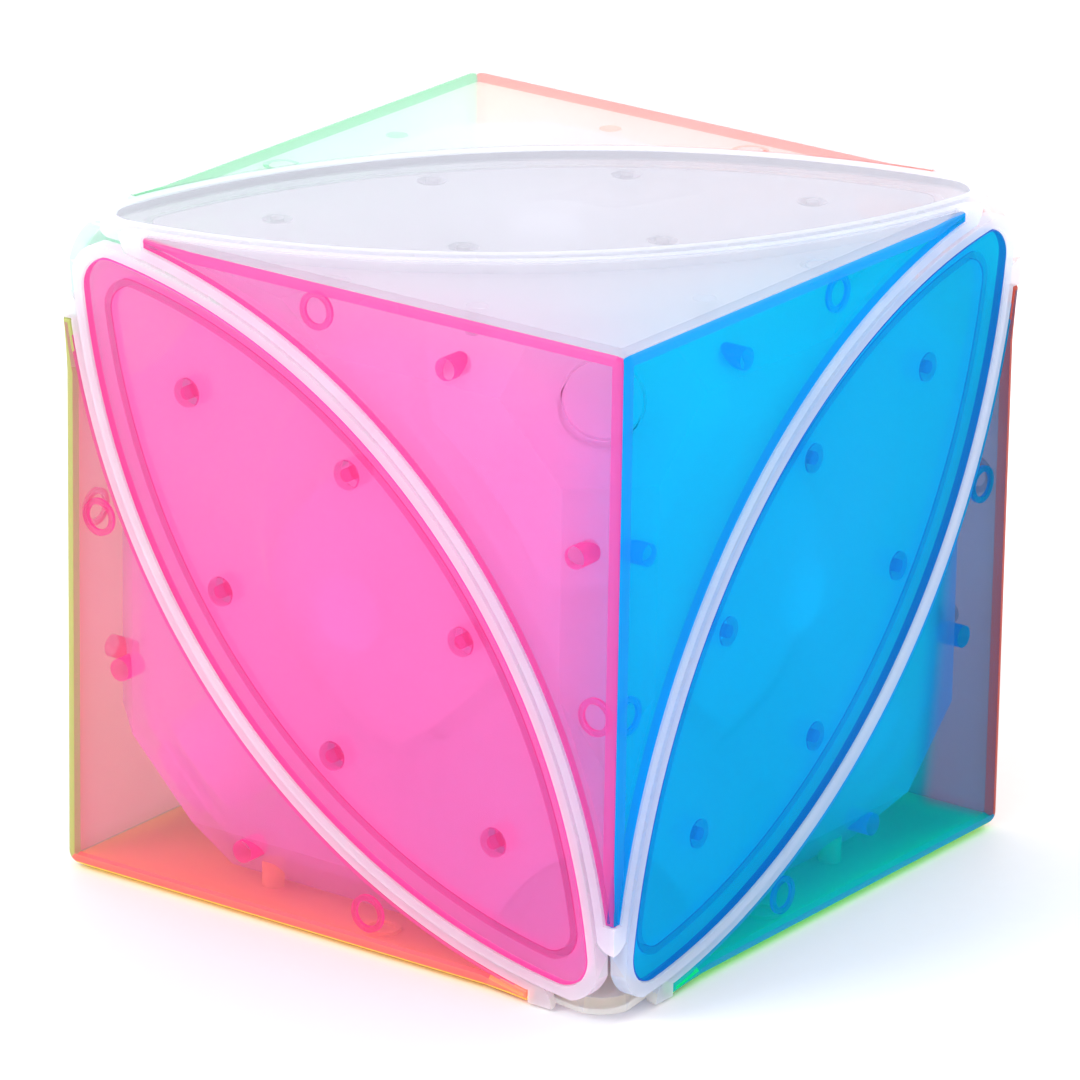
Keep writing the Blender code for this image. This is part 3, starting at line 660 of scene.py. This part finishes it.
def see_through(name, tint, body, solid, roughness, gloss=0.5, glow=0.3, piped=0.0, shift=None, inner=None):
    """See-through plastic: a tinted clear share beside a softly lit coloured share.

    tint is what one surface lets through, body the colour of the lit share, and solid how big that share is.
    glow is how much of the lit share passes light on from behind, and piped sets a painted glow: emission in
    the lit colour, with which the piece gives out light though it is no lamp.
    shift is (tint, ramps), for another tint where every ramp is up. A ramp rises from start to end along a
    direction on the piece. inner is (body, solid, direction, start), for another lit colour and share past
    a place along a direction.
    """
    material, tree, output = node_material(name)
    nodes, links = tree.nodes, tree.links
    noise = noise_on_piece(tree, MOTTLE_SCALE, 1.0)
    clear = nodes.new("ShaderNodeBsdfTransparent")
    clear.inputs["Color"].default_value = (*tint, 1.0)
    if shift:
        far_tint, ramps = shift
        past = None
        for direction, start, end in ramps:
            past = ramp(tree, direction, start, end, past)
        links.new(mixed_colour(tree, past, tint, far_tint), clear.inputs["Color"])
    lit = nodes.new("ShaderNodeBsdfPrincipled")
    lit.inputs["Base Color"].default_value = (*body, 1.0)
    lit.inputs["Specular IOR Level"].default_value = gloss
    # Painted glow: emission in the lit colour, though the piece is no lamp
    lit.inputs["Emission Color"].default_value = (*body, 1.0)
    lit.inputs["Emission Strength"].default_value = piped
    links.new(uneven_roughness(tree, noise, roughness, CLEAR_WEAR), lit.inputs["Roughness"])
    through = nodes.new("ShaderNodeBsdfTranslucent")
    through.inputs["Color"].default_value = (*body, 1.0)
    body_mix = nodes.new("ShaderNodeMixShader")
    body_mix.inputs["Fac"].default_value = glow
    links.new(lit.outputs["BSDF"], body_mix.inputs[1])
    links.new(through.outputs["BSDF"], body_mix.inputs[2])

    mix = nodes.new("ShaderNodeMixShader")
    share = ranged(tree, noise.outputs["Fac"], solid - UNEVEN, solid + UNEVEN)
    if inner:
        inner_body, inner_solid, direction, start = inner
        past = ramp(tree, direction, start, start + INNER_FADE)
        colour = mixed_colour(tree, past, body, inner_body)
        links.new(colour, lit.inputs["Base Color"])
        links.new(colour, through.inputs["Color"])
        shares = nodes.new("ShaderNodeMix")
        links.new(past, shares.inputs["Factor"])
        links.new(share, shares.inputs["A"])
        shares.inputs["B"].default_value = inner_solid
        share = shares.outputs["Result"]
    links.new(share, mix.inputs["Fac"])
    links.new(clear.outputs["BSDF"], mix.inputs[1])
    links.new(body_mix.outputs["Shader"], mix.inputs[2])
    links.new(mix.outputs["Shader"], output.inputs["Surface"])
    return material


def opaque(name, colour, roughness, metallic=0.0, wear=0.15):
    """Plain plastic or plated steel with fine wear in its colour and roughness."""
    material, tree, output = node_material(name)
    nodes, links = tree.nodes, tree.links
    noise = noise_on_piece(tree, WEAR_SCALE, 4.0)
    bump = nodes.new("ShaderNodeBump")
    bump.inputs["Strength"].default_value = 0.1
    bump.inputs["Distance"].default_value = 0.1 * MM
    links.new(noise.outputs["Fac"], bump.inputs["Height"])
    shader = nodes.new("ShaderNodeBsdfPrincipled")
    worn = tuple(part * (1 - wear) for part in colour)
    links.new(mixed_colour(tree, noise.outputs["Fac"], colour, worn), shader.inputs["Base Color"])
    links.new(uneven_roughness(tree, noise, roughness, PLAIN_WEAR), shader.inputs["Roughness"])
    links.new(bump.outputs["Normal"], shader.inputs["Normal"])
    shader.inputs["Metallic"].default_value = metallic
    links.new(shader.outputs["BSDF"], output.inputs["Surface"])
    return material


UNEVEN = 0.05            # how far a plastic's solid share wanders
MOTTLE_SCALE = 60.0      # noise scales, in waves to the metre: the see-through plastics' unevenness
WEAR_SCALE = 600.0       # and the wear on the opaque pieces
CLEAR_WEAR = (0.85, 1.20)    # least and most roughness over a piece, as shares of its own
PLAIN_WEAR = (0.80, 1.25)
DEEP_POWER = 1.25        # powers that turn a tile's lit colour and tint into those of its edges and pegs
DEEP_TINT_POWER = 2
RIM_SHARE = 0.14         # how much of their tile's colour is painted on the frosted rims, as painted coloured light from the tile
INNER_FADE = 2.5         # millimetres over which an underside's colour changes

# Solid share of each part of a coloured tile, and of the milky one
SHARES = {"plate": (0.14, 0.32), "edge": (0.65, 0.40), "line": (0.85, 0.85), "peg": (0.60, 0.16),
          "rib": (0.22, 0.16)}
# Each jelly plastic as linear light: one surface's tint, the lit colour, and a leaf tile's outline, darker
# partly as the edge's deeper colour and partly as painted shade of the gap round the tile
JELLY = {
    "tile_white": ((0.937, 0.935, 0.95), (0.70, 0.695, 0.73), (0.46, 0.47, 0.53)),
    "tile_yellow": ((0.99, 0.90, 0.35), (0.95, 0.78, 0.10), (0.80, 0.55, 0.05)),
    "tile_pink": ((1.00, 0.70, 0.88), (1.00, 0.20, 0.55), (1.00, 0.09, 0.42)),
    "tile_orange": ((1.00, 0.62, 0.48), (0.95, 0.24, 0.10), (0.80, 0.14, 0.06)),
    "tile_blue": ((0.01, 0.88, 0.99), (0.00, 0.51, 0.93), (0.00, 0.10, 0.50)),
    "tile_green": ((0.52, 0.98, 0.76), (0.14, 0.80, 0.44), (0.10, 0.60, 0.35)),
}
# Stronger painted coloured light on the rims beside the orange and green tiles
STRONG_RIM_SHARES = {"tile_orange": 0.35, "tile_green": 0.35}
# Painted light on the blue corner tile beside the orange tile: a redder tint there stands in for the orange
# tile's light reflected inside the blue one. The tint, and ramps by direction, start and end
BY_ORANGE = ((0.42, 0.60, 0.85), [((0, 1, -0.12), 17.6, 20.4), ((0, 0.44, 1), -16.2, -14.6)])
# Corner tiles whose underside is painted with light and shade: each lit colour stands in for the light that
# comes through the tiles round them, not for the tile's own colour. Columns: lit colour, solid share and
# glow, and where it does so only beside the open channel in the shell, the direction and place where that
# starts
UNDERSIDES = {
    ("a", "top"): ((0.62, 0.615, 0.67), 0.45, 0.5, None),
    ("b", "top"): ((0.93, 0.95, 0.95), 0.60, 0.5, None),
    ("c", "bottom"): ((1.00, 1.00, 0.30), 0.75, 0.4, None),
    ("d", "bottom"): ((0.90, 1.00, 0.55), 0.85, 0.4, None),
    ("d", "back"): ((1.00, 0.50, 0.42), 0.60, 0.5, ((1, 0, -0.35), 15.5)),
    ("c", "left"): ((1.00, 0.56, 0.35), 0.90, 0.75, ((0, -1, -0.35), 14.5)),
    ("b", "back"): ((1.00, 0.90, 0.86), 0.55, 0.5, ((-0.35, 0, 1), 15.5)),
    ("b", "left"): ((0.86, 1.00, 0.94), 0.55, 0.5, ((0, 0.35, 1), 15.5)),
}
# Edge strips painted with the coloured light of the tile round the corner, by the tile's face and that
# tile's face:
# the material's name, painted lit colour and painted glow, an emission with which the bright lime and amber
# strips, painted highlights, give out light though they are no lamp
STRIP_GLOWS = {
    ("front", "left"): ("lime_glow", (0.60, 0.65, 0.22), 0.0),
    ("left", "front"): ("pale_lime_glow", (0.75, 0.80, 0.50), 0.0),
    ("front", "bottom"): ("salmon_glow", (1.00, 0.24, 0.24), 0.0),
    ("right", "back"): ("brick_glow", (0.60, 0.10, 0.07), 0.0),
    ("bottom", "right"): ("bright_lime_glow", (0.16, 0.86, 0.06), 0.75),
    ("bottom", "front"): ("amber_glow", (1.00, 0.66, 0.09), 0.65),
}
# Pegs painted with the same painted light
PEG_GLOWS = {("c", "left"): "salmon_glow", ("c", "bottom"): "under_c_bottom",
             ("d", "back"): "brick_glow", ("d", "bottom"): "under_d_bottom"}


def frosted_colour(tile_colour, share):
    """Milky plastic painted with a share of the coloured tile's colour: painted coloured light, standing in
    for the light that the tile beside it passes on.
    """
    milky = (0.90, 0.91, 0.96)
    return tuple(m * (1 - share) + t * share for m, t in zip(milky, tile_colour))


def make_materials():
    made = {}

    def plastic(name, *looks, **more):
        made[name] = see_through(name, *looks, **more)

    for name, (tint, body, line) in JELLY.items():
        milky = name == "tile_white"
        deep_tint, deep = tint, body
        if not milky:
            deep_tint, deep = (tuple(part ** power for part in colour)
                               for colour, power in ((tint, DEEP_TINT_POWER), (body, DEEP_POWER)))
        shares = {part: pair[milky] for part, pair in SHARES.items()}
        # Painted coloured light: the frosted rim takes a share of its tile's colour
        rim = frosted_colour(body, STRONG_RIM_SHARES.get(name, RIM_SHARE))
        plastic(name, tint, body, shares["plate"], roughness=0.22, gloss=0.4)
        plastic(name + "_edge", deep_tint, deep, shares["edge"], roughness=0.25, glow=0.6)
        # Outline of a leaf tile: deeper colour of the edge, and painted shade of the gap round the tile
        plastic(name + "_line", tint, line, shares["line"], roughness=0.25, gloss=0.3)
        plastic(name + "_peg", deep_tint, deep, shares["peg"], roughness=0.3, gloss=0.2, glow=0.5)
        plastic(name + "_rib", deep_tint, deep, shares["rib"], roughness=0.3, gloss=0.2, glow=0.5)
        plastic(name + "_rim", (0.99, 0.99, 1.0), rim, 0.60, roughness=0.28, glow=0.55)
    # Painted light: a redder tint beside the orange tile, for the orange light reflected inside the blue
    # tile
    tint, body, _ = JELLY["tile_blue"]
    plastic("blue_by_orange", tint, body, SHARES["plate"][0], roughness=0.22, gloss=0.4, shift=BY_ORANGE)
    # Painted light and shade on the undersides: colours that stand in for the light through the tiles round
    # them
    for (corner, face), (under, share, glow, place) in UNDERSIDES.items():
        name = f"under_{corner}_{face}"
        tint, body, _ = JELLY[TILE_SLOTS[face]]
        if place:
            inner = (under, share, *place)
            plastic(name, tint, body, SHARES["plate"][0], roughness=0.35, gloss=0.2, glow=glow, inner=inner)
        else:
            plastic(name, tint, under, share, roughness=0.35, gloss=0.2, glow=glow)
    # Painted coloured light on the edge strips, and a painted glow where the emission is above nought
    for name, body, piped in STRIP_GLOWS.values():
        glow = 0.5 if piped == 0 else 0.3
        plastic(name, (0.95, 0.95, 0.90), body, 0.80, roughness=0.3, glow=glow, piped=piped)
    plastic("frosted_clear", (0.985, 0.985, 0.995), (0.94, 0.945, 0.97), 0.50, roughness=0.35, gloss=0.3,
            glow=0.55)
    plastic("white_cap", (0.98, 0.98, 0.99), (0.93, 0.935, 0.96), 0.85, roughness=0.35, glow=0.4)
    made["inner_white"] = opaque("inner_white", (0.90, 0.90, 0.92), roughness=0.45, wear=0.04)
    made["bright_steel"] = opaque("bright_steel", (0.80, 0.80, 0.81), roughness=0.35, metallic=1.0)
    return made


# ---------------------------------------------------------------- placing the pieces

def corner_turn(signs):
    master = CORNERS["a"]
    return Matrix.Diagonal([signs[i] * master[i] for i in range(3)] + [1])


def leaf_turn(normal):
    normal = Vector(normal)
    ends = [Vector((x, y, z)) for x in (-1, 1) for y in (-1, 1) for z in (-1, 1)
            if x * y * z > 0 and Vector((x, y, z)).dot(normal) > 0]
    along = (ends[1] - ends[0]).normalized()
    master_along = Vector((1, 1, 0)).normalized()
    target = Matrix((along, normal.cross(along), normal)).transposed()
    master = Matrix((master_along, Vector((0, 0, 1)).cross(master_along), Vector((0, 0, 1)))).transposed()
    return (target @ master.transposed()).to_4x4()


def face_name(direction):
    return max(FACES, key=lambda name: Vector(FACES[name]).dot(direction))


def take_mesh(obj):
    """A master's mesh, with its object dropped."""
    mesh = obj.data
    bpy.data.objects.remove(obj, do_unlink=True)
    mesh.shade_smooth()
    mesh.set_sharp_from_angle(angle=SHARP_ANGLE)
    return mesh


def show(name, mesh, turn, body, slot, materials, choose=None):
    """One piece from a master's mesh. choose gives each face's material from its centre and normal."""
    piece = bpy.data.objects.new(name, mesh.copy())
    bpy.context.scene.collection.objects.link(piece)
    piece.data.transform(turn)
    piece.data.materials.clear()
    for material in materials:
        piece.data.materials.append(material)
    for polygon in piece.data.polygons:
        polygon.material_index = choose(polygon.center, polygon.normal) if choose else 0
    piece.data.transform(Matrix.Scale(MM, 4))
    normals = piece.modifiers.new("normals", "WEIGHTED_NORMAL")
    normals.keep_sharp = True
    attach(piece, body)
    return piece


def place(node, mesh, turn, body, slot, materials, choose=None):
    """One piece that stands for a CAD node."""
    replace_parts(show("v_" + node, mesh, turn, body, slot, materials, choose), node)


def leaf_tile_part(direction):
    """Chooses plate, outline, peg end or rib for a leaf tile's face.

    The outline takes in the rounded top edge, and the sides of the pegs look like the rib.
    """
    under = LEAF_TILE_TOP - LEAF_TILE_THICKNESS

    def choose(centre, normal):
        height = centre.dot(direction)
        flat = abs(normal.dot(direction)) > FLAT_ON_LEAF
        if height < under - SLACK:
            return 2 if flat and height < under - RIB_DEPTH - SLACK else 3
        return 0 if flat else 1
    return choose


def corner_tile_part(face):
    """Chooses plate, edge, peg, underside or a neighbour's painted glow for a corner tile's face."""
    direction = Vector(FACES[face])
    under = HALF - CORNER_TILE_THICKNESS

    def choose(centre, normal):
        height, slope = centre.dot(direction), normal.dot(direction)
        if height < under - SLACK:
            return 2
        if slope < -FLAT_ON:
            return 3
        sideways = centre - direction * height
        if max(abs(part) for part in sideways) < HALF - EDGE_ROUND - MITRE_GAP:
            return 0 if slope > FLAT_ON else 1
        glows = list(STRIP_GLOWS)
        pair = (face, face_name(sideways))
        return 4 + glows.index(pair) if pair in glows else 1
    return choose


def shell_part(directions):
    """Chooses the rim of the nearest outer face, painted with its tile's coloured light, or the plain shell
    below the rims.
    """
    def choose(centre, normal):
        for i, direction in enumerate(directions):
            if centre.dot(direction) > HALF - RIM_BAND:
                return i + 1
        return 0
    return choose


def build():
    materials = make_materials()
    place("core", take_mesh(make_core()), Matrix.Identity(4), "core", "inner_white",
          [materials["inner_white"]])

    plain_kinds = [("corner_hub", make_corner_hub, "inner_white"), ("washer", make_washer, "bright_steel"),
                   ("spring", make_spring, "bright_steel"), ("tension_screw", make_screw, "bright_steel")]
    for kind, make, slot in plain_kinds:
        mesh = take_mesh(make())
        for corner, signs in CORNERS.items():
            body = "screw_" if kind == "tension_screw" else "corner_"
            place(f"{kind}_{corner}", mesh, corner_turn(signs), body + corner, slot, [materials[slot]])
    cap = take_mesh(make_cap())
    for corner, signs in CORNERS.items():
        show("screw_cap_" + corner, cap, corner_turn(signs), "corner_" + corner, "frosted_clear",
             [materials["white_cap"]])

    tile = take_mesh(make_corner_tile())
    base = take_mesh(make_corner_base())
    glows = [materials[name] for name, *_ in STRIP_GLOWS.values()]
    for corner, signs in CORNERS.items():
        sides = []
        for turns in range(3):
            turn = corner_turn(signs) @ third_turn(turns)
            face = face_name(turn.to_3x3() @ Vector(FACES["top"]))
            sides.append(face)
            slot = TILE_SLOTS[face]
            finishes = [materials[slot + part] for part in ("", "_edge", "_peg", "")]
            # Painted light and shade on this tile's underside
            if (corner, face) in UNDERSIDES:
                finishes[3] = materials[f"under_{corner}_{face}"]
            # Painted light on the pegs beside the neighbouring tiles
            if (corner, face) in PEG_GLOWS:
                finishes[2] = materials[PEG_GLOWS[corner, face]]
            # Painted light: the blue tile beside the orange one
            if (corner, face) == ("d", "right"):
                finishes[0] = finishes[3] = materials["blue_by_orange"]
            place(f"corner_tile_{corner}_{face}", tile, turn, "corner_" + corner, slot,
                  finishes + glows, corner_tile_part(face))
        # Rims painted with their tiles' coloured light
        finishes = [materials["frosted_clear"]] + [materials[TILE_SLOTS[face] + "_rim"] for face in sides]
        place("corner_base_" + corner, base, corner_turn(signs), "corner_" + corner, "frosted_clear",
              finishes, shell_part([Vector(FACES[face]) for face in sides]))

    leaf_makers = (make_leaf_base, make_leaf_foot, make_leaf_tile)
    leaf_base, foot, leaf_tile = (take_mesh(make()) for make in leaf_makers)
    for face, normal in FACES.items():
        turn = leaf_turn(normal)
        body = "leaf_" + face
        slot = TILE_SLOTS[face]
        place("leaf_foot_" + face, foot, turn, body, "inner_white", [materials["inner_white"]])
        # Rim painted with its tile's coloured light
        place("leaf_base_" + face, leaf_base, turn, body, "frosted_clear",
              [materials["frosted_clear"], materials[slot + "_rim"]], shell_part([Vector(normal)]))
        place("leaf_tile_" + face, leaf_tile, turn, body, slot,
              [materials[slot + part] for part in ("", "_line", "_peg", "_rib")],
              leaf_tile_part(Vector(normal)))


# ---------------------------------------------------------------- floor, lights and camera

FLOOR_REACH = 6.0        # metres from the middle to the floor's edge
WORLD_STRENGTH = 1.42


def make_stage():
    bm = bmesh.new()
    bmesh.ops.create_grid(bm, x_segments=1, y_segments=1, size=FLOOR_REACH)
    mesh = bpy.data.meshes.new("floor")
    bm.to_mesh(mesh)
    bm.free()
    floor = bpy.data.objects.new("floor", mesh)
    floor.location = (0, 0, -LEAF_HALF * MM)
    bpy.context.scene.collection.objects.link(floor)
    mesh.materials.append(opaque("floor_paint", (0.70, 0.70, 0.705), 0.6, wear=0.01))


def area_light(name, place, size, power):
    data = bpy.data.lights.new(name, "AREA")
    data.size = size
    data.energy = power
    light = bpy.data.objects.new(name, data)
    light.location = place
    light.rotation_mode = "QUATERNION"
    light.rotation_quaternion = (-Vector(place)).to_track_quat("-Z", "Y")
    bpy.context.scene.collection.objects.link(light)


def make_lights():
    world = bpy.data.worlds.new("studio")
    world.use_nodes = True
    background = world.node_tree.nodes["Background"]
    background.inputs["Color"].default_value = (1.0, 1.0, 1.0, 1.0)
    background.inputs["Strength"].default_value = WORLD_STRENGTH
    bpy.context.scene.world = world
    area_light("key", (-0.45, -0.75, 0.85), 0.5, 9.0)
    area_light("back", (0.2, 0.9, 0.7), 0.6, 6.0)


# The camera looks at the cube's middle from a distance in metres, shifted a little along its own axes
CAMERA_AZIMUTH = math.radians(35.93)
CAMERA_ELEVATION = math.radians(19.65)
CAMERA_ROLL = math.radians(0.91)
CAMERA_DISTANCE = 0.6765
CAMERA_RIGHT = -0.00009
CAMERA_UP = -0.00106
CAMERA_LENS = 273.8
SENSOR_WIDTH = 36.0


def make_camera():
    azimuth, elevation, roll = CAMERA_AZIMUTH, CAMERA_ELEVATION, CAMERA_ROLL
    back = Vector((math.sin(azimuth) * math.cos(elevation), -math.cos(azimuth) * math.cos(elevation),
                   math.sin(elevation)))
    right = Vector((math.cos(azimuth), math.sin(azimuth), 0.0))
    up = back.cross(right)
    rolled_right = right * math.cos(roll) + up * math.sin(roll)
    rolled_up = up * math.cos(roll) - right * math.sin(roll)
    data = bpy.data.cameras.new("camera")
    data.sensor_width = SENSOR_WIDTH
    data.lens = CAMERA_LENS
    data.clip_start = 0.01
    data.clip_end = 50.0
    camera = bpy.data.objects.new("camera", data)
    camera.location = back * CAMERA_DISTANCE + rolled_right * CAMERA_RIGHT + rolled_up * CAMERA_UP
    camera.rotation_mode = "QUATERNION"
    camera.rotation_quaternion = Matrix((rolled_right, rolled_up, back)).transposed().to_quaternion()
    bpy.context.scene.collection.objects.link(camera)
    bpy.context.scene.camera = camera


build()
make_stage()
make_lights()
make_camera()
bpy.context.scene.view_settings.view_transform = "Standard"
bpy.context.scene.cycles.transparent_max_bounces = 20
bpy.context.scene.cycles.diffuse_bounces = 5
